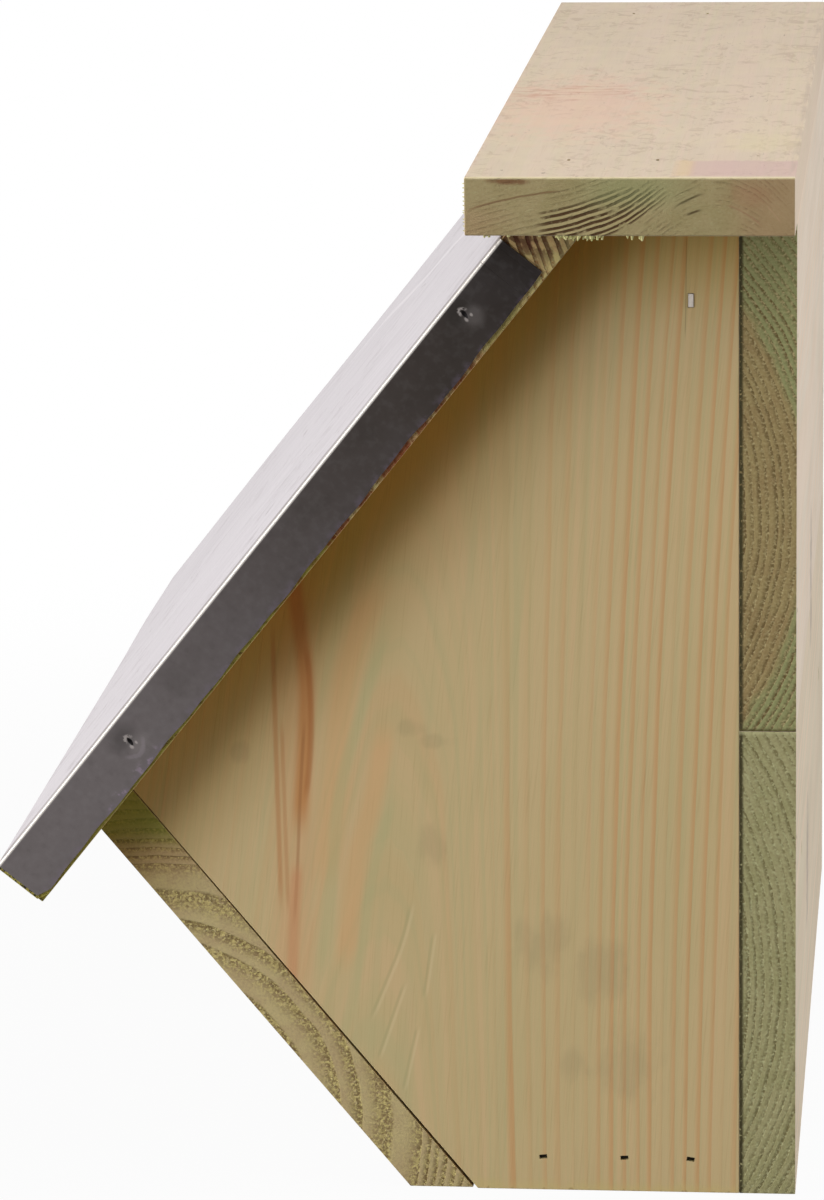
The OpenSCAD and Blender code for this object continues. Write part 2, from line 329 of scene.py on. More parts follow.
class Finish(Wiring):
    """A material and the steps that its surface needs."""

    def __init__(self, name):
        self.material = bpy.data.materials.new(name)
        self.material.use_nodes = True
        super().__init__(self.material.node_tree)
        self.shader = self.tree.nodes["Principled BSDF"]

    def surface(self, socket, value):
        """Sets one property of the surface, by the name of its socket."""
        self.feed(self.shader.inputs[socket], value)

    def place(self):
        """The place on the piece, in millimetres."""
        found = self.node("ShaderNodeTexCoord", output="Object")
        large = self.node("ShaderNodeVectorMath", {"operation": "SCALE"}, {0: found, 3: 1000.0})
        return self.parts(large)

    def facing(self):
        """How far the surface faces along X, Y and Z."""
        return self.parts(self.node("ShaderNodeTexCoord", output="Normal"))

    def stain(self, mask, colour, kind="MIX"):
        """Lays a colour over what the finish shows so far, where the mask lets it.

        A colour of three numbers is one as it shows on a screen."""
        tint = shown(*colour) if len(colour) == 3 else colour
        self.colour = self.over(mask, self.colour, tint, kind)

    def relief(self, height, depth):
        """Raises and sinks the surface by height times depth in metres."""
        inputs = {"Strength": 1.0, "Distance": depth, "Height": height}
        self.surface("Normal", self.node("ShaderNodeBump", {}, inputs))


class Timber(Finish):
    """Sawn pine. Its growth rings lie round the tree's middle and run on through the board.

    Grain is the axis that it follows. Heart is the tree's middle across the grain, as
    forward and up for a lying board, or as forward and along for an upright one."""

    def __init__(self, name, grain, heart, ring, face, late, seed=0.0, sway=3.0, taper=0.0,
                 lean=None, crowd=None, bands=0.8, early=0.34, quiet=None, figure=None):
        super().__init__(name)
        x, y, z = self.place()
        forward = wall * 1000 - y
        across = [forward, z] if grain == "x" else [forward, x]
        self.forward = forward
        self.up = z
        self.length = x if grain == "x" else z
        self.seed = seed
        if lean is not None:
            across[0] = across[0] - lean(self.length)
        self.across = across
        if figure is None:
            radius = (across[0] - heart[0]) ** 2.0 + (across[1] - heart[1]) ** 2.0
            radius = radius ** 0.5
        else:
            radius = across[1] - heart[1] + self.curve(across[0], figure, 40)
        radius = radius + sway * 2 * (self.weave(30, 220, 1.0) - 0.5)
        radius = radius + 0.7 * (self.weave(6, 90, 1.0) - 0.5)
        self.radius = radius
        radius = radius + self.length * taper
        thin = self.noise(self.join(radius / 1.1, self.seed, self.length / 400), 3.0, 0.6)
        uneven = self.noise(self.join(radius / (2.6 * ring), 0.0, self.seed), 1.0)
        phase = radius / ring + 1.2 * uneven
        if crowd is not None:
            start, closer = crowd
            phase = phase + self.most(radius - start, 0.0) * (1 / closer - 1 / ring)
        number = self.floor(phase)
        part = phase - number
        self.tone = self.node(
            "ShaderNodeTexWhiteNoise", {"noise_dimensions": "1D"}, {"W": number + seed}
        )
        self.late = self.step(part, early, 0.86) * self.step(part, 0.9, 1.0, 1.0, 0.0)
        self.fibre = self.weave(0.5, 24, 3.0)
        self.fuzz = self.weave(0.3, 1.2, 2.0)
        self.cloud = self.weave(26, 90, 2.0)
        facing = self.facing()[0 if grain == "x" else 2]
        self.end = self.step(abs(facing), 0.4, 0.62)
        self.colour = self.over(self.step(self.cloud, 0.35, 0.65), face[0], face[1])
        self.stain(self.step(thin, 0.5, 0.68) * 0.5, face[2])
        self.stain(self.step(thin, 0.5, 0.34) * 0.45, face[3])
        self.stain(self.step(part, 0.3, 0.05) * self.tone * 0.4 * bands, face[3])
        strength = self.late * (0.25 + 0.75 * self.tone) * self.step(self.tone, -0.4, 0.5) * bands
        if quiet is not None:
            strength = strength * self.step(across[0], quiet[1], quiet[0], 0.2, 1.0)
            self.stain(self.step(self.weave(5, 150, 2.0, 3.0), 0.52, 0.7) * 0.4, face[3])
        self.stain(strength, late)
        self.stain(self.step(self.fibre, 0.5, 0.78) * 0.4, (0.78, 0.73, 0.64, 1), "MULTIPLY")
        self.height = self.fibre * 0.4 + self.late * 0.25 + thin * 0.2

    def weave(self, width, run, detail=2.0, shift=0.0):
        """Noise of a width across the grain and a run along it, in millimetres."""
        vector = self.join(
            self.across[0] / width + self.seed,
            self.across[1] / width + shift,
            self.length / run + 1.7 * self.seed,
        )
        return self.noise(vector, detail)

    def curve(self, value, route, top):
        """A number read off a drawn line, whose points are given as value and result."""
        route = sorted(route)
        low, high = route[0][0], route[-1][0]
        points = [((at - low) / (high - low), result / top) for at, result in route]
        share = (value - low) / (high - low)
        return self.node("ShaderNodeFloatCurve", {"route": points}, {1: share}) * top

    def sawn(self, end, late, light, bold=None, rim=None, beads=0.3, fuzzy=0.5, least=0.25):
        """The end grain: fuzzy, with the late wood of each ring as a broken line.

        Bold marks where the lines are strongest, rim where the sapwood is green, beads how
        thickly pale torn fibres sit on the late wood, and least how faint a line can be."""
        broken = self.step(self.weave(1.1, 6, 3.0, 6.0), 0.3, 0.5)
        tint = self.over(self.step(self.weave(8, 50, 3.0, 4.0), 0.35, 0.65), end[0], end[1])
        if rim is not None:
            radius, soaked = rim
            edge = self.radius + 6 * (self.weave(9, 50, 2.0, 5.0) - 0.5)
            tint = self.over(self.step(edge, radius - 1.5, radius + 1.5), tint, soaked)
        line = self.late * (least + (1 - least) * self.tone) * broken
        if bold is not None:
            line = line * bold
        torn = self.weave(0.8, 2, 3.0, 2.0)
        tint = self.over(line, tint, late)
        tint = self.over(self.step(torn, 0.5, 0.66) * (0.4 + 0.6 * self.late) * fuzzy, tint, light)
        tint = self.over(self.step(torn, 0.46, 0.3) * (0.4 + 0.6 * self.late) * fuzzy, tint, late)
        speck = self.step(self.weave(1.0, 2, 1.0, 12.0), 0.54, 0.66)
        tint = self.over(self.late * speck * beads, tint, light)
        self.colour = self.over(self.end, self.colour, tint)
        rough = self.fuzz + torn * 1.2 - line * 2.2
        self.height = self.height + self.end * (rough - self.height)

    def line(self, position, run, route, width, fade=0.15):
        """A mark along a route, each place on it as run and position in millimetres."""
        route = sorted(route)
        low, high = route[0][0], route[-1][0]
        share = (run - low) / (high - low)
        aside = abs(position - self.curve(run, route, 400))
        ends = self.step(share, 0.0, fade) * self.step(share, 1.0 - fade, 1.0, 1.0, 0.0)
        return self.step(aside, width, width * 0.2) * ends

    def patch(self, across, run, place, size, soft=1.0):
        """A roundish mark with a ragged edge, its size as half its width and height."""
        wide = ((across - place[0]) / size[0]) ** 2.0 + ((run - place[1]) / size[1]) ** 2.0
        ragged = wide ** 0.5 + 2.4 * (self.weave(5, 9, 3.0, 9.0) - 0.5)
        return self.step(ragged, 1.0 + soft / 2, 0.3)

    def done(self, depth=0.0001):
        self.surface("Base Color", self.colour)
        self.surface("Roughness", 0.72 - 0.1 * self.fibre + 0.1 * self.end)
        self.surface("Specular IOR Level", 0.3)
        self.relief(self.height, depth)
        return self.material


def paint(piece, material):
    piece.data.materials.clear()
    piece.data.materials.append(material)


straw = (shown(202, 180, 132), shown(206, 182, 135), shown(214, 182, 137), shown(190, 178, 130))
straw_late = shown(204, 156, 104)
moss = (shown(158, 146, 106), shown(150, 137, 98))
moss_late = shown(96, 80, 46)
fuzz = shown(190, 180, 134)


def upright(height):
    """How far the grain of a side panel leans towards the wall at a height."""
    return height * -0.07 + height * height * -0.00012


def paint_eaves_shade(wood, share=1.0):
    """Paints shade, dark and golden, into the wood under the roof and the top board, where their
    shadow falls.

    Share is how much of this a part of the piece has."""
    below_roof = body_top - (wood.forward - roof_start) * 1.2437 - wood.up
    high_up = wood.step(wood.up, 140, 220)
    beside = wood.step(wood.forward, 35, 80, 0.3, 1.0)
    # Painted shade in four layers: high up, under the roof, along its edge and under the top board
    wood.stain(wood.step(below_roof, 95, 35) * high_up * beside, (0.92, 0.9, 0.88, 1), "MULTIPLY")
    wood.stain(wood.step(below_roof, 66, 20) * beside, (0.81, 0.75, 0.63, 1), "MULTIPLY")
    low_down = wood.step(wood.up, 100, 200, 0.5, 1.0)
    wood.stain(wood.step(below_roof, 38, 5) * low_down * share, (0.74, 0.58, 0.2, 1), "MULTIPLY")
    wood.stain(wood.step(wood.up, 262, 300), (0.84, 0.77, 0.47, 1), "MULTIPLY")


right_side_panel = side_panel(1, "right_side_panel")
near = Timber("right side pine", "z", (132, 128), 3.3, straw, straw_late, seed=3.1, sway=1.2,
              taper=0.055, lean=upright, bands=0.8, early=0.45, quiet=(84, 108))
across, run = near.forward, near.up

# The wood that the resin tinted, its two streaks, and the orange and green legs of the figure
for route, width, strength, tint in (
    ([(50, 153), (100, 151), (140, 150), (205, 149)], 10.0, 0.45, (210, 164, 118)),
    ([(84, 155.2), (110, 155.4), (140, 155.8), (180, 156)], 1.2, 0.65, (188, 134, 84)),
    ([(84, 153), (110, 153.4), (150, 154)], 1.0, 0.5, (188, 134, 84)),
    ([(108, 149.4), (128, 148), (145, 146.8), (162, 146.5), (176, 148), (204, 150.6)], 3.8, 0.75,
     (190, 126, 66)),
    ([(120, 147.6), (138, 145.4), (158, 145.2), (172, 146.4)], 1.4, 0.5, (166, 100, 48)),
    ([(80, 151.6), (90, 150.8), (103, 149.9), (121, 148.9), (150, 146.8)], 0.8, 0.5, (156, 104, 60)),
    ([(60, 152.4), (72, 152), (84, 151.4), (104, 149.8)], 2.8, 0.6, (204, 144, 100)),
    ([(90, 142), (133, 137.7), (164, 133.4), (196, 121)], 6.5, 0.45, (216, 166, 112)),
    ([(66, 136), (105, 131.6), (120, 127.6), (150, 122)], 5.0, 0.45, (220, 168, 116)),
    ([(60, 146), (90, 140.7), (127, 136.2), (152, 129.2), (182, 120)], 3.0, 0.42, (180, 178, 128)),
    ([(40, 139), (72, 131.6), (100, 127), (127, 119.4)], 2.6, 0.38, (180, 178, 128)),
):
    near.stain(near.line(across, run, route, width) * strength, tint)

# Torn grain with painted highlights, smudges from handling and a hairline crack over the nail
for route, width in (([(52, 129.5), (65, 124), (78, 119), (92, 115.6)], 0.8),
                     ([(40, 127), (56, 121.5), (66, 118)], 0.7),
                     ([(60, 112.6), (70, 111), (82, 109.2)], 0.6),
                     ([(30, 119.4), (40, 117.2), (52, 114.4)], 0.6)):
    near.stain(near.line(across, run, route, width) * 0.3, (160, 154, 108))
    # A painted highlight 1 mm towards the wall of each torn line
    lit_edge = [(at, aside - 1.0) for at, aside in route]
    near.stain(near.line(across, run, lit_edge, width) * 0.3, (222, 206, 162))
for place, size in (((115.8, 144.8), (4.5, 2.2)), ((107.4, 140.9), (4.5, 1.8)),
                    ((109, 108), (4, 6)), ((76, 78), (8, 8)), ((58, 70), (8, 9)),
                    ((67.5, 40), (4, 5)), ((51, 39), (8, 10)), ((166, 137), (3, 3))):
    near.stain(near.patch(across, run, place, size) * 0.2, (140, 124, 92))
crack = near.line(across, run, [(262, 32.7), (280, 32.4), (297, 32.2)], 0.25)
near.stain(crack * 0.35, (110, 84, 48))
foot = near.step(run + 5 * near.weave(3, 900, 2.0, 8.0), 6.5, 2.5)
near.stain(foot * 0.45, (206, 186, 122))
nicks = near.step(run + 5 * near.weave(1.6, 900, 1.0, 2.0), 2.6, 1.8)
near.stain(nicks * 0.6, (150, 120, 70))
# Painted shade under the roof and the top board
paint_eaves_shade(near)
near.sawn(moss, moss_late, fuzz)
paint(right_side_panel, near.done())

left_side_panel = side_panel(-1, "left_side_panel")
far = Timber("left side pine", "z", (92, -118), 4.4, straw, straw_late, seed=8.7, taper=0.05,
             lean=upright, bands=0.85, early=0.55)
# Painted shade under the roof and the top board
paint_eaves_shade(far)
far.sawn(moss, moss_late, fuzz)
paint(left_side_panel, far.done())


# Back boards: two planed boards edge to edge behind the box, nailed to both side panels.
# Their ends are green where the preservative soaked in and brown in the heartwood. The
# lower one is drilled for the two wall screws.

pale = (shown(210, 196, 179), shown(204, 188, 170), shown(216, 200, 185), shown(199, 188, 167))
weathered = (shown(202, 188, 165), shown(196, 181, 158), shown(208, 193, 173), shown(191, 182, 156))
pale_late = shown(214, 190, 166)


def back_board(name, bottom, top, holes=()):
    board = block(spot(-panel_outside, wood_thick, bottom), spot(panel_outside, 0, top))
    board = set_in_place(board, name)
    if holes:
        runs = [spot(along, 0, 90) for along in holes]
        cut_out(board, [bore(run, (0, 1, 0), radius=2.75, depth=18) for run in runs])
    ease(board, 0.00022)
    cut_out(board, [
        nail_pit(spot(end * nail_line, 0, up), (0, 1, 0), (1, 0, 0))
        for end in (-1, 1)
        for up in (bottom + 35, top - 35)
    ])
    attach(board, "box")
    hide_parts(name)
    return board


def torn_corner_and_seam_shade(wood):
    """Dark torn fibres and painted shade in the gap at a board's sawn corner, by the side panel."""
    torn = wood.step(wood.weave(0.9, 4, 2.0, 7.0), 0.24, 0.44)
    wood.stain(wood.step(wood.forward, 15.3, 16.3) * torn * wood.end, (58, 52, 24))


def water_marks(wood, marks):
    """Grey weathering on the rear face, each mark given as its middle and half its size."""
    for place, size in marks:
        mark = wood.patch(wood.length, wood.up, place, size)
        wood.stain(mark * wood.step(wood.forward, 2, 1) * 0.6, (136, 120, 114))


back_joint = 145
upper_back_board = back_board("upper_back_board", back_joint, body_top)
upper = Timber("upper back pine", "x", (110, 210), 2.2, pale, pale_late, seed=5.3, sway=1.5,
               early=0.25)
upper.sawn((shown(162, 143, 96), shown(154, 132, 88)), shown(104, 84, 46), shown(188, 172, 124),
           rim=(113, shown(150, 152, 102)), least=0.5, beads=0.7, fuzzy=0.8)
torn_corner_and_seam_shade(upper)
# Painted shade in the joint, along the foot of the end
upper.stain(upper.end * upper.step(upper.up, 146.2, 145.4) * 0.8, (80, 72, 38))
water_marks(upper, [((3, 157), (12, 16))])
paint(upper_back_board, upper.done())

lower_back_board = back_board("lower_back_board", 0, back_joint, (-110, 110))
lower = Timber("lower back pine", "x", (134, 69), 2.3, weathered, pale_late, seed=1.9, sway=1.5,
               early=0.35)
lower.sawn((shown(168, 161, 117), shown(160, 155, 109)), shown(122, 113, 72), shown(190, 188, 142),
           least=0.4, beads=0.6, fuzzy=0.8)
torn_corner_and_seam_shade(lower)
# A painted highlight along the top of the end, under the joint
lower.stain(lower.end * lower.step(lower.up, 143.6, 144.5) * 0.5, (196, 194, 146))
water_marks(lower, [((2, 138), (12, 8)), ((39, 66), (11, 22))])
paint(lower_back_board, lower.done())


# Floor board and top batten: a board between the side panels at the foot, and a squared
# length of sawn softwood in the upper rear corner. Both are held by nails through the
# side panels.

floor_board = block(spot(-panel_inside, 130, 0), spot(panel_inside, wood_thick, wood_thick))
set_in_place(floor_board, "floor_board")
saw(floor_board, front_hinge, leans)
ease(floor_board, 0.0004)
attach(floor_board, "box")
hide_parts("floor_board")
base = Timber("floor pine", "x", (60, -45), 3.6, straw, straw_late, seed=6.2)
base.sawn(moss, moss_late, fuzz)
paint(floor_board, base.done())

top_batten = block(spot(-panel_inside, 45, 252), spot(panel_inside, wood_thick, body_top))
set_in_place(top_batten, "top_batten")
ease(top_batten, 0.0004)
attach(top_batten, "box")
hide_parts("top_batten")
rail = Timber("batten pine", "x", (80, 260), 2.2, straw, straw_late, seed=7.4)
rail.sawn(moss, moss_late, fuzz)
paint(top_batten, rail.done())


# Roof boards: two planed boards side by side down the slope, nailed to the sloping edges of
# the side panels. The upper one is sawn level to meet the top board, and each has a hollow
# in its ends where the sheet's nails pressed the metal in.

roof_side = 188.5
roof_joint = 117.5
dents = ((41.5, 11.6), (206.5, 9.6))


def roof_board(name, start, end, hollow):
    """A board between two places down the slope, with the hollow of a dent in each end."""
    board = block(
        (-roof_side / 1000, -end / 1000, 0), (roof_side / 1000, -start / 1000, wood_thick / 1000)
    )
    set_in_place(board, name, roof_slope, roof_hinge)
    if start < 0:
        saw(board, roof_hinge, (0, 0, 1))
    ease(board, 0.0003)
    cut_out(board, [
        bore(roof_spot(side * roof_side, *hollow), (side, 0, 0), radius=5.6, depth=2.4)
        for side in (-1, 1)
    ])
    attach(board, "box")
    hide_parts(name)
    return board


upper_roof_board = roof_board("upper_roof_board", -20, roof_joint, dents[0])


def down_the_roof(forward, up):
    """How far a place on the finish lies down the slope, in millimetres."""
    return (forward - roof_start) * math.cos(roof_turn) - (up - body_top) * math.sin(roof_turn)


def rust_stain(wood, start, end):
    """Rust from the sheet's cut edge, soaked into the ends of a roof board."""
    down = down_the_roof(wood.forward, wood.up)
    reach = wood.step(down, start, start + 8) * wood.step(down, end, end - 14)
    patchy = wood.step(wood.noise(wood.join(down / 7, 0.0, wood.seed), 3.0), 0.36, 0.56)
    wood.stain(wood.end * reach * patchy * 0.85, (122, 48, 14))
    return down


ridge = Timber("upper roof pine", "x", (-30, 330), 2.7, straw, straw_late, seed=9.2, sway=0.8)
ridge.sawn((shown(206, 190, 126), shown(204, 168, 118)), shown(142, 98, 46), shown(206, 202, 148),
           least=0.5)
soaked = ridge.step(ridge.up, 284, 294) * ridge.step(ridge.forward, 60, 68)
ridge.stain(ridge.end * soaked * ridge.step(ridge.late, 0.1, 0.5) * 0.8, (66, 26, 4))
damp = ridge.step(ridge.weave(4, 30, 3.0, 4.0), 0.44, 0.56) * ridge.step(ridge.forward, 66, 72)
ridge.stain(ridge.end * soaked * damp * 0.8, (74, 34, 12))
ridge.stain(ridge.end * ridge.step(ridge.forward, 70, 62) * 0.6, (158, 158, 104))
down = rust_stain(ridge, 42, 140)
greenish = ridge.end * ridge.step(down, 24, 34) * ridge.step(down, 50, 42)
ridge.stain(greenish * 0.7, (150, 140, 74))
paint(upper_roof_board, ridge.done())

lower_roof_board = roof_board("lower_roof_board", roof_joint, 263.6, dents[1])
for side in (-1, 1):
    aside = side * 0.1895
    chip = block((aside - 0.0022, -0.0022, -0.0011), (aside + 0.0022, 0.0022, 0.0011))
    set_in_place(chip, "chip", roof_slope - 28, roof_spot(0, 262.8, 0.2))
    cut_out(lower_roof_board, [chip])
verge = Timber("lower roof pine", "x", (120, 40), 2.6, straw, straw_late, seed=2.6)
verge.sawn((shown(160, 150, 66), shown(152, 140, 60)), shown(104, 80, 30), shown(190, 180, 96))
foot = verge.end * verge.step(rust_stain(verge, 100, 150), 262, 262.6)
verge.stain(foot * verge.step(verge.weave(1.1, 3, 2.0, 7.0), 0.5, 0.6), (22, 20, 12))
paint(lower_roof_board, verge.done())


# Roof sheet: one piece of thin zinc-coated steel, laid on the roof boards and folded down
# over their ends, where two nails a side hold it. It has taken a bow between the nails, and
# its cut edges are a little ragged.

sheet_top = 0.0176
fold_line = 0.18905
put_down()
bpy.ops.mesh.primitive_grid_add(
    x_subdivisions=56, y_subdivisions=164, size=1, location=(0, -0.14, sheet_top)
)
sheet = bpy.context.object
sheet.scale = (0.3782, 0.245, 1)
bpy.ops.object.transform_apply(location=True, rotation=True, scale=True)


def hold_edges(piece, wanted):
    """Selects the edges of a piece that a test on their middle picks."""
    bpy.ops.object.mode_set(mode="EDIT")
    bpy.ops.mesh.select_mode(type="EDGE")
    bpy.ops.mesh.select_all(action="DESELECT")
    bpy.ops.object.mode_set(mode="OBJECT")
    corners = piece.data.vertices
    for edge in piece.data.edges:
        middle = sum((corners[end].co for end in edge.vertices), Vector()) / 2
        edge.select = bool(wanted(middle))
    bpy.ops.object.mode_set(mode="EDIT")


take_up(sheet)
for side in (-1, 1):
    hold_edges(sheet, lambda middle: middle.x * side > fold_line and middle.z > 0.0175)
    for fold in range(10):
        bpy.ops.mesh.extrude_region_move(TRANSFORM_OT_translate={"value": (0, 0, -0.00167)})
    bpy.ops.object.mode_set(mode="OBJECT")

# The rounded fold along each side
hold_edges(sheet, lambda middle: abs(middle.x) > fold_line and middle.z > 0.0175)
bpy.ops.mesh.bevel(offset=0.0008, segments=4, affect="EDGES")
bpy.ops.mesh.select_all(action="SELECT")
bpy.ops.mesh.normals_make_consistent(inside=False)
bpy.ops.object.mode_set(mode="OBJECT")


def press(piece, place, shift, reach):
    """Pushes the point nearest to a place, and what lies round it, by a shift."""
    nearest = min(piece.data.vertices, key=lambda v: (v.co - Vector(place)).length)
    index = nearest.index
    bpy.ops.object.mode_set(mode="EDIT")
    bpy.ops.mesh.select_mode(type="VERT")
    bpy.ops.mesh.select_all(action="DESELECT")
    bpy.ops.object.mode_set(mode="OBJECT")
    piece.data.vertices[index].select = True
    bpy.ops.object.mode_set(mode="EDIT")
    bpy.ops.transform.translate(
        value=shift,
        use_proportional_edit=True,
        proportional_edit_falloff="SMOOTH",
        proportional_size=reach,
        use_proportional_connected=True,
    )
    bpy.ops.object.mode_set(mode="OBJECT")


# The bow of the metal between its nails, highest towards the far end and the foot
for along, down, rise, reach in (
    (-0.06, 0.13, 0.0014, 0.13),
    (-0.12, 0.20, 0.0016, 0.09),
    (0.07, 0.16, 0.0010, 0.10),
    (0.02, 0.06, 0.0006, 0.07),
):
    press(sheet, (along, -down, sheet_top), (0, 0, rise), reach)

# The soft ridge that runs slantwise down the sheet
for along, down in ((0.01, 0.03), (-0.035, 0.067), (-0.08, 0.112), (-0.125, 0.157)):
    press(sheet, (along, -down, sheet_top), (0, 0, 0.0005), 0.03)

# The dents round the nails
for side in (-1, 1):
    for down, rise in dents:
        press(sheet, (side * 0.1891, -down / 1000, rise / 1000), (-side * 0.0003, 0, 0), 0.0042)

# The lower edges waver where shears cut them, rise near the top and are bent up at the foot
edge_reach = 0.006
for corner in sheet.data.vertices:
    down = -corner.co.y * 1000
    if abs(corner.co.x) > fold_line and corner.co.z < edge_reach:
        run = down + math.copysign(40, corner.co.x)
        lift = 0.22 * math.sin(run / 6.1) + 0.16 * math.sin(run / 2.7 + 1)
        lift += 1.9 * max(0, 1 - down / 60) + 0.45 * max(0, down - 258)
        lift += 0.5 * math.exp(-(((down - 85) / 24) ** 2))
        corner.co.z += lift / 1000 * (1 - corner.co.z / edge_reach)

thickness = sheet.modifiers.new("thickness", "SOLIDIFY")
thickness.thickness = 0.0006
thickness.offset = -1
take_up(sheet)
bpy.ops.object.modifier_apply(modifier=thickness.name)
smooth(sheet, 40)
set_in_place(sheet, "folded_sheet", roof_slope, roof_hinge)
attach(sheet, "box")
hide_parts("roof_sheet")

zinc = Finish("zinc sheet")
x, y, z = zinc.place()
forward = wall * 1000 - y
down = down_the_roof(forward, z)
rise = (forward - roof_start) * math.sin(roof_turn) + (z - body_top) * math.cos(roof_turn)
flange = zinc.step(abs(x), 188.2, 188.9)
streaks = zinc.noise(zinc.join(x / 5, down / 60, 0.0), 4.0)
drawn = zinc.noise(zinc.join(x / 14, down / 12, 7.0), 4.0, 0.55, 0.3)
where = zinc.noise(zinc.join(x / 45, down / 50, 3.0), 2.0)
cloud = zinc.noise(zinc.join(x / 16, down / 24, rise / 16), 3.0)
mottle = zinc.noise(zinc.join(x / 2.5, down / 2.5, rise / 2.5), 3.0)

# The top: drawn streaks, dull blotches and specks, a painted highlight on the crest of the
# ridge and painted shade in the crease beside the near fold
zinc.colour = zinc.over(zinc.step(streaks, 0.35, 0.7), shown(191, 185, 188), shown(183, 177, 180))
marks = zinc.step(drawn, 0.54, 0.64) * zinc.step(where, 0.36, 0.56)
zinc.stain(marks * 0.3, (156, 148, 150))
specks = zinc.step(zinc.noise(zinc.join(x / 13, down / 8, 5.0), 3.0, 0.6, 1.4), 0.6, 0.72)
specks = specks * zinc.step(where, 0.4, 0.6)
zinc.stain(specks * 0.4, (132, 123, 122))
# A painted highlight along the crest of the ridge
crest_highlight = zinc.step(abs(x - 42 + 1.063 * down), 8, 2) * zinc.step(down, 150, 110)
zinc.stain(crest_highlight * 0.5, (212, 206, 208))
# Painted shade in the crease beside the near fold
crease_shade = zinc.step(abs(x - 183), 6, 3.5) * zinc.step(where, 0.35, 0.5, 0.55, 0.95)
zinc.stain(crease_shade, (138, 129, 127))
top_tint = zinc.colour

# The flanges: painted dark with shade and a dark reflection, darkest under the top board and
# paler to the foot; tarnished and bruised
# Painted shade and reflection: the flange's dark base, darkest under the top board
zinc.colour = zinc.over(zinc.step(down, 0, 66), shown(30, 26, 24), shown(56, 50, 47))
zinc.stain(zinc.step(down, 60, 236), (97, 91, 91))
zinc.stain(zinc.step(cloud, 0.46, 0.75) * 0.14, (86, 82, 84))
zinc.stain(zinc.step(mottle, 0.45, 0.7) * 0.008, (1, 1, 1, 1))
zinc.stain(zinc.step(mottle, 0.46, 0.25) * 0.12, (44, 40, 38))
zinc.stain(zinc.step(cloud, 0.5, 0.3) * 0.5, (0.72, 0.72, 0.7, 1), "MULTIPLY")
bruise = zinc.step(rise, 3.5, 1.0) * zinc.step(mottle, 0.4, 0.6)
zinc.stain(bruise * 0.2, (104, 90, 112))
beside_dent = zinc.step(abs(down - 216), 20, 8) * zinc.step(rise, 4.5, 2.0)
zinc.stain(beside_dent * zinc.step(mottle, 0.58, 0.68) * 0.35, (150, 132, 150))


def oval(aside, out, place, size):
    """How far a point lies from the middle of an oval, where 1 is on its edge."""
    return (((aside - place[0]) / size[0]) ** 2.0 + ((out - place[1]) / size[1]) ** 2.0) ** 0.5


# Each dent is painted light and shade: shade above the nail, a highlight below it, glints on
# its lip and in flecks, and a dark slit of shade over the sunk nail head
dent_glint = shown(170, 162, 158)
for middle, height in dents:
    along_edge = down - middle + 1.2 * (mottle - 0.5)
    outward = rise - height
    shade = oval(along_edge, outward, (0.5, 2.5), (6, 5))
    zinc.stain(zinc.step(shade, 1.2, 0.2) * 0.4, (40, 38, 35))
    lit_bulge = oval(along_edge, outward, (-1.4, -2.2), (3.6, 3.6))
    zinc.stain(zinc.step(lit_bulge, 1.3, 0.3) * 0.16, (138, 132, 130))
    torn = zinc.noise(zinc.join(down / 0.9, rise / 0.9, middle), 2.0)
    lit_lip = oval(along_edge, outward + torn, (-0.2, 0.6), (1.3, 2.0))
    lit_lip = zinc.step(abs(lit_lip - 1), 0.5, 0.1) * zinc.step(outward, 0.2, 1.4)
    zinc.stain(lit_lip * zinc.step(torn, 0.36, 0.5) * 0.6, dent_glint)
    for place, size in (((0.9, -1.2), (0.6, 0.8)), ((-1.2, -1.4), (0.4, 0.6))):
        zinc.stain(zinc.step(oval(along_edge, outward, place, size), 1.3, 0.4) * 0.5, dent_glint)
    # A painted highlight along a crease below the lower dent
    if middle > 100:
        wave_highlight = oval(along_edge, outward + torn, (0.5, 1.6), (4.4, 5.6))
        wave_highlight = zinc.step(abs(wave_highlight - 1), 0.2, 0.05) * zinc.step(outward, -1.0, -3.0)
        zinc.stain(wave_highlight * 0.2, (140, 130, 138))
    slit_shade = oval(along_edge + 0.2 * outward, outward, (0, 0.2), (0.65, 1.5))
    zinc.stain(zinc.step(slit_shade, 1.15, 0.75), (10, 8, 8))
zinc.colour = zinc.over(flange, top_tint, zinc.colour)
arris = zinc.step(abs(abs(x) - 188.6), 0.8, 0.5) * zinc.step(rise, 16.4, 16.9)
zinc.stain(arris, (172, 167, 162))
zinc.surface("Base Color", zinc.colour)
zinc.surface("Roughness", 0.42 + 0.2 * cloud)
zinc.surface("Metallic", 0.9)
zinc.relief(streaks * 0.15 + cloud + marks * -0.4 + specks * -0.6, 0.0002)
paint(sheet, zinc.material)


# Top board: a planed board laid flat over the side panels, the upper back board and the
# roof's upper edge, and nailed down into the side panels. Its sawn ends are fuzzy below.

box_height = body_top + wood_thick
top_board = block(spot(-200, 95, body_top), spot(200, 0, box_height))
set_in_place(top_board, "top_board")
ease(top_board, 0.0004)
cut_out(top_board, [
    nail_pit(spot(end * nail_line, forward, box_height), (0, 0, 1), (1, 0, 0), 2.4, 0.9, depth=0.35)
    for end in (-1, 1)
    for forward in (41, 67)
])
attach(top_board, "box")
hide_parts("top_board")
planed = (shown(198, 181, 160), shown(202, 184, 163), shown(205, 184, 167), shown(196, 183, 156))
wavy = [(0, 14), (6.6, 7.5), (10, 4.5), (14, 2.2), (21, 0), (26, 0.5), (30, 2), (35, 4.8),
        (41, 9), (45, 12), (50, 15), (58, 18), (66, 20.5), (75, 22.5), (85, 25), (95, 28)]
cover = Timber("top pine", "x", (0, body_top), 1.65, planed, shown(206, 176, 156), seed=4.4,
               sway=0.4, bands=0.15, early=0.1, figure=wavy)
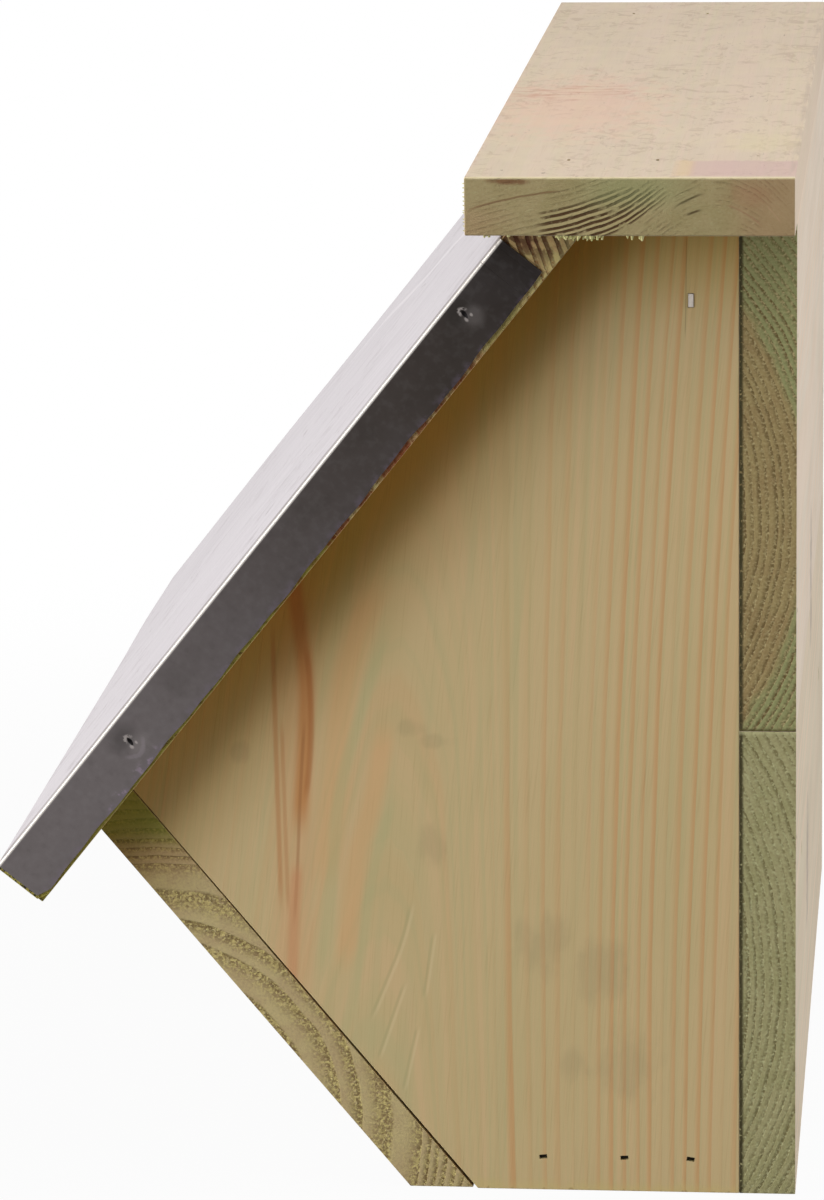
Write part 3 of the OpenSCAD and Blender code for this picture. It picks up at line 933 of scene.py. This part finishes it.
across, run = cover.forward, cover.length
bold = cover.step(cover.radius, 16, 17.5) * cover.step(cover.radius, 29.5, 28)
bold = bold * cover.step(across, 35, 43) * cover.step(across, 76, 70) * cover.step(cover.up, 313, 310)
bold = bold * cover.step(cover.weave(3.2, 900, 2.0, 17.0), 0.3, 0.5)
faint = 0.35 * cover.step(cover.weave(9, 300, 2.0, 5.0), 0.46, 0.6) + 0.06
cover.sawn((shown(166, 150, 108), shown(158, 144, 100)), shown(86, 62, 30), shown(184, 178, 134),
           bold=cover.most(faint, bold), fuzzy=0.16, least=0.4, beads=0.2)
cut = cover.end * bold
# Painted highlights on the early wood between the bold lines
cover.stain(cut * cover.step(cover.late, 0.55, 0.2) * 0.45, (184, 168, 118))
cover.stain(cut * cover.step(cover.late, 0.3, 0.62), (68, 44, 12))
for route, width, fade, strength, tint in (
    ([(25, 13), (30, 12.8), (36, 12.4)], 0.55, 0.4, 0.9, (70, 50, 20)),
    ([(26, 8), (32, 8.6)], 0.55, 0.4, 0.9, (70, 50, 20)),
    ([(66, 33.8), (83, 35.1), (95, 35.2)], 0.5, 0.15, 0.7, (116, 84, 54)),
    ([(9, 7.9), (14, 8.8), (20, 9.3)], 0.5, 0.15, 0.5, (150, 112, 84)),
    ([(4, 13.8), (5.5, 14.3), (8, 14.8)], 0.6, 0.15, 0.5, (186, 160, 122)),
):
    ring = cover.line(cover.radius, across, route, width, fade)
    cover.stain(cover.end * ring * strength, tint)
ends = cover.end
mossy = ends * cover.step(abs(across - 46), 22, 6) * cover.step(cover.up, 303, 311)
for mask, tint in (
    (ends * cover.step(across, 24, 8) * 0.4, (170, 128, 98)),
    (ends * cover.patch(across, cover.up, (14, 310), (6, 3.5)) * 0.3, (160, 112, 82)),
    (ends * cover.step(across, 76, 94) * cover.step(cover.up, 310, 302) * 0.35, (172, 134, 102)),
    (mossy * 0.4, (150, 158, 108)),
    (ends * cover.patch(across, cover.up, (83, 313.9), (6.5, 1.0), 0.4) * 0.8, (112, 70, 42)),
):
    cover.stain(mask, tint)

# Its weathered top: small torn flecks, red streaks, a pink stain and a pale near edge
cap = cover.step(cover.up, 314.2, 314.8)
flecks = cover.noise(cover.join(across / 6.5, run / 11.0, 2.0), 5.0, 0.65, 1.6)
flecks = cover.step(flecks, 0.52, 0.6) * cover.step(cover.weave(20, 50, 2.0, 13.0), 0.34, 0.5)
chips = cover.noise(cover.join(across / 2.6, run / 11.0, 6.0), 3.0, 0.6, 1.8)
chips = cover.step(chips, 0.64, 0.72) * cover.step(cover.weave(16, 40, 2.0, 3.0), 0.44, 0.56)
faded = cover.step(cover.noise(cover.join(across / 11, run / 14, 9.0), 3.0), 0.4, 0.66)
streaks = cover.step(cover.noise(cover.join(across / 16, run / 3.2, 4.0), 3.0), 0.46, 0.6)
torn = 6 * cover.weave(4, 900, 2.0, 6.0)
damp = cap * (cover.step(run + torn, 170, 173.5) * cover.step(run, 199, 195))
rear = cover.step(across, 2.6, 1.0) * cover.step(cover.weave(3, 30, 3.0, 11.0), 0.42, 0.56)
# Paler along the near edge of the top
pale_near_edge = cover.step(run + 1.6 * cover.noise(cover.join(across / 3, 0.0, 8.0), 3.0), 199.2, 200.2)
for mask, strength, tint in (
    (cap * flecks, 0.38, (160, 134, 112)),
    (cap * chips, 0.5, (126, 104, 88)),
    (cap * faded, 0.4, (206, 190, 162)),
    (cap * cover.patch(across, run, (72, 60), (26, 60)), 0.3, (222, 172, 152)),
    (cap * streaks * cover.patch(across, run, (76, 27), (21, 15)), 0.6, (178, 128, 108)),
    (damp * cover.step(across + torn, 35, 32), 0.5, (188, 152, 152)),
    (damp * cover.step(abs(across + torn - 35.5), 4, 2), 0.4, (206, 174, 128)),
    (cap * cover.patch(across, run, (12, 132), (12, 18)), 0.3, (208, 196, 152)),
    (cap * rear, 0.4, (168, 150, 136)),
    (cap * pale_near_edge, 0.6, (220, 206, 164)),
):
    cover.stain(mask * strength, tint)
paint(top_board, cover.done(depth=0.00012))

# The torn fibres that hang from the sawn lower edge of its near end
splinters = []
tearing = random.Random(7)
sawn_end = 199.3


def splinter(long, root, tip, place, turn):
    put_down()
    bpy.ops.mesh.primitive_cone_add(
        vertices=5, radius1=root, radius2=tip, depth=long / 1000, location=place, rotation=turn
    )
    splinters.append(bpy.context.object)


for tuft in range(46):
    spread = tearing.choice((44, 47, 57, 60, 62, 64, 66, 68, 74, 80, 90))
    forward = spread + tearing.uniform(-2.5, 2.5)
    long = tearing.uniform(0.8, 2.0) * (0.5 if spread > 70 else 1.0)
    splinter(
        long,
        tearing.uniform(0.0004, 0.0008),
        tearing.uniform(0.0001, 0.0004),
        spot(sawn_end + tearing.uniform(-0.4, 0.1), forward, body_top + 0.3 - long / 2),
        (math.pi + tearing.uniform(-0.5, 0.5), tearing.uniform(-0.3, 0.1), 0),
    )
for tuft in range(12):
    place = spot(sawn_end, 94.9, 299 + 1.3 * tuft + tearing.uniform(-0.4, 0.4))
    splinter(1.2, 0.0004, 0.0001, place, (math.pi / 2 + tearing.uniform(-0.5, 0.5), 0, 0))
put_down()
for fibre in splinters:
    fibre.select_set(True)
bpy.context.view_layer.objects.active = splinters[0]
bpy.ops.object.join()
torn_fibres = set_in_place(bpy.context.object, "torn_fibres")
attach(torn_fibres, "box")
straws = Finish("torn fibres")
x, y, z = straws.place()
mixed = straws.noise(straws.join(y / 2, z / 2, x))
straws.surface("Base Color", straws.over(mixed, shown(186, 186, 112), shown(226, 216, 164)))
straws.surface("Roughness", 0.8)
paint(torn_fibres, straws.material)


# Front board: a planed board that leans in from under the roof to the foot, mitred to the
# roof's underside, with an oval entrance low down near its left end. Four countersunk
# screws hold it to the edges of the side panels.

front_board = block(
    (-panel_outside / 1000, -0.02, 0.0003), (panel_outside / 1000, 0.19, 0.0158)
)
set_in_place(front_board, "front_board", 180 - front_slope, front_hinge)
saw(front_board, roof_spot(0, 0, -0.5), sheds)
saw(front_board, spot(0, 0, 0.3), (0, 0, -1))

# Its inner face stands off the side panels, 0.95 mm at the foot and less towards the roof
up_the_face = Vector((0, leans.z, -leans.y))
saw(front_board, front_spot(0, 0, 0.95), -leans - up_the_face * 0.0043)

# The entrance, cut by a block whose ends are rounded
slot_end = 0.0325
slot = block((-slot_end, -0.015, -0.02), (slot_end, 0.015, 0.02))
take_up(slot)
bpy.ops.object.transform_apply(location=True, rotation=True, scale=True)
hold_edges(slot, lambda middle: abs(abs(middle.x) - slot_end) < 1e-5 and abs(middle.z) < 1e-5)
bpy.ops.mesh.bevel(offset=0.01499, segments=16, affect="EDGES")
bpy.ops.object.mode_set(mode="OBJECT")
set_in_place(slot, "slot", 180 - front_slope, front_spot(-91, 50, 8))
cut_out(front_board, [slot])
ease(front_board, 0.00022)


def screw_hole(run):
    """A cutter for a screw hole and its countersink, turned in one piece."""
    shank = 0.00225
    head = 0.00425
    put_down()
    bpy.ops.mesh.primitive_circle_add(
        vertices=48, radius=shank, fill_type="NGON", location=(0, 0, -0.04)
    )
    cutter = bpy.context.object
    bpy.ops.object.transform_apply(location=True, rotation=True, scale=True)
    bpy.ops.object.mode_set(mode="EDIT")
    bpy.ops.mesh.select_all(action="SELECT")
    for length, spread in ((0.0369, 1.0), (0.002, head / shank), (0.0031, 1.0)):
        bpy.ops.mesh.extrude_region_move(TRANSFORM_OT_translate={"value": (0, 0, length)})
        bpy.ops.transform.resize(value=(spread, spread, 1.0))
    bpy.ops.mesh.select_all(action="SELECT")
    bpy.ops.mesh.normals_make_consistent(inside=False)
    bpy.ops.object.mode_set(mode="OBJECT")
    cutter.rotation_euler = screw_way.to_track_quat("Z", "Y").to_euler()
    cutter.location = run
    return cutter


cut_out(front_board, [screw_hole(run) for run in screw_runs])
smooth(front_board, 20)
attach(front_board, "front")
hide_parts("front_board")
face = Timber("front pine", "x", (195.5, 20.4), 8.0, straw, straw_late, seed=0.6, sway=2.5,
              crowd=(82, 2.7), early=0.15)
face.sawn((shown(192, 174, 126), shown(184, 162, 120)), shown(112, 90, 48), shown(218, 202, 132),
          beads=0.8, fuzzy=0.5, least=0.6)
coarse = face.step(face.weave(1.5, 3, 2.0, 15.0), 0.52, 0.6)
face.stain(face.end * face.late * coarse * 0.6, (208, 190, 124))
coarse = face.step(face.weave(1.4, 3, 2.0, 21.0), 0.56, 0.64)
face.stain(face.end * face.late * coarse * 0.5, (104, 82, 46))
high = face.end * face.step(face.up, 60, 110)
face.stain(high * face.step(abs(face.radius - 85), 7, 2) * 0.25, (188, 156, 118))
face.stain(high * face.step(face.radius, 86, 95) * 0.72, (142, 154, 56))
# Painted shade under the roof, mostly on the sawn end
paint_eaves_shade(face, 0.2 + 0.8 * face.end)
paint(front_board, face.done())


# Brads and screws: bright wire nails driven by a nail gun, their flat heads sunk below the
# wood, and the zinc-plated screws of the front board.


def nail_metal(name, grain, dark, bright, roughness, metallic, nodes):
    """A scuffed metal for some of the nails. Roughness is its least and how much it varies."""
    metal = Finish(name)
    x, y, z = metal.place()
    scuff = metal.noise(metal.join(x / grain, y / grain, z / grain), 3.0)
    metal.surface("Base Color", metal.over(scuff, dark, bright))
    metal.surface("Roughness", roughness[0] + roughness[1] * scuff)
    metal.surface("Metallic", metallic)
    for node in nodes:
        paint(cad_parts[node], metal.material)


nail_metal("bright steel", 0.6, shown(150, 142, 132), shown(205, 196, 186), (0.35, 0.25), 0.85, (
    "top_board_brads", "upper_back_brads", "lower_back_brads", "batten_brads",
    "upper_roof_brads", "lower_roof_brads", "front_board_screws",
))
# A darker copy of the steel: painted shade on the nail heads sunk deep in their pits
nail_metal("shaded steel", 0.8, shown(30, 26, 20), shown(70, 64, 54), (0.55, 0.3), 0.6, (
    "floor_brads", "sheet_brads",
))


# The studio: a pale floor, a white backdrop, one large soft lamp overhead and a softer one
# behind, and the camera at the near end.

put_down()
bpy.ops.mesh.primitive_plane_add(size=12, location=(0, 0, 0))
ground = bpy.context.object
ground.name = "ground"
cloth = Finish("pale floor")
cloth.surface("Base Color", (0.28, 0.28, 0.28, 1))
cloth.surface("Roughness", 0.9)
cloth.surface("Specular IOR Level", 0.0)
x, y, z = cloth.place()
away = cloth.step((x * x + y * y) ** 0.5, 250, 700, 0.96, 1.0)
white = (1, 1, 1, 1)


def seen_directly(wiring):
    """One for a ray that comes from the camera, a mirror or a clear piece, and nought else."""
    rays = ("Is Camera Ray", "Is Glossy Ray", "Is Transmission Ray")
    camera_ray, glossy_ray, clear_ray = [
        wiring.node("ShaderNodeLightPath", output=ray) for ray in rays
    ]
    return wiring.most(wiring.most(camera_ray, glossy_ray), clear_ray)


glow = cloth.node("ShaderNodeEmission", {}, {0: white, 1: 1.0})
floor_paint = Flow(cloth, cloth.shader.outputs[0])
lit_floor = {0: seen_directly(cloth) * away, 1: floor_paint, 2: glow}
cloth.feed(
    cloth.tree.nodes["Material Output"].inputs[0], cloth.node("ShaderNodeMixShader", {}, lit_floor)
)
paint(ground, cloth.material)

world = bpy.data.worlds.new("studio")
bpy.context.scene.world = world
world.use_nodes = True
sky = Wiring(world.node_tree)
fill = sky.node("ShaderNodeBackground", {}, {0: white, 1: 0.1})
backdrop = sky.tree.nodes["Background"]
sky.feed(backdrop.inputs[0], white)
lit_sky = {0: seen_directly(sky), 1: fill, 2: Flow(sky, backdrop.outputs[0])}
sky.feed(sky.tree.nodes["World Output"].inputs[0], sky.node("ShaderNodeMixShader", {}, lit_sky))


def softbox(name, place, size, power):
    put_down()
    aim = Vector((0, 0, 0.16)) - Vector(place)
    bpy.ops.object.light_add(
        type="AREA", location=place, rotation=aim.to_track_quat("-Z", "Y").to_euler()
    )
    lamp = bpy.context.object
    lamp.name = name
    lamp.data.shape = "SQUARE"
    lamp.data.size = size
    lamp.data.energy = power


softbox("front softbox", (0.78, -1.66, 0.74), 1.5, 46)
softbox("overhead", (0.5, 0.3, 1.9), 1.2, 16)
softbox("behind", (0.25, 1.8, 0.9), 1.2, 26)

camera_data = bpy.data.cameras.new("camera")
camera = bpy.data.objects.new("camera", camera_data)
bpy.context.scene.collection.objects.link(camera)
camera_data.sensor_width = 36
camera_data.lens = 161.44
camera_data.clip_start = 0.05
camera_data.clip_end = 50
camera.location = (1.7242, 0.1612, 0.5568)
yaw, pitch, roll = (math.radians(turn) for turn in (5.743, 13.462, -0.847))
level = math.cos(pitch)
look = Vector((-math.cos(yaw) * level, -math.sin(yaw) * level, -math.sin(pitch)))
side = look.cross(Vector((0, 0, 1))).normalized()
top = side.cross(look)
rolled_side = side * math.cos(roll) + top * math.sin(roll)
rolled_top = top * math.cos(roll) - side * math.sin(roll)
camera.rotation_mode = "QUATERNION"
camera.rotation_quaternion = frame_turn((rolled_side, rolled_top, -look))
bpy.context.scene.camera = camera
bpy.context.scene.view_settings.view_transform = "Standard"
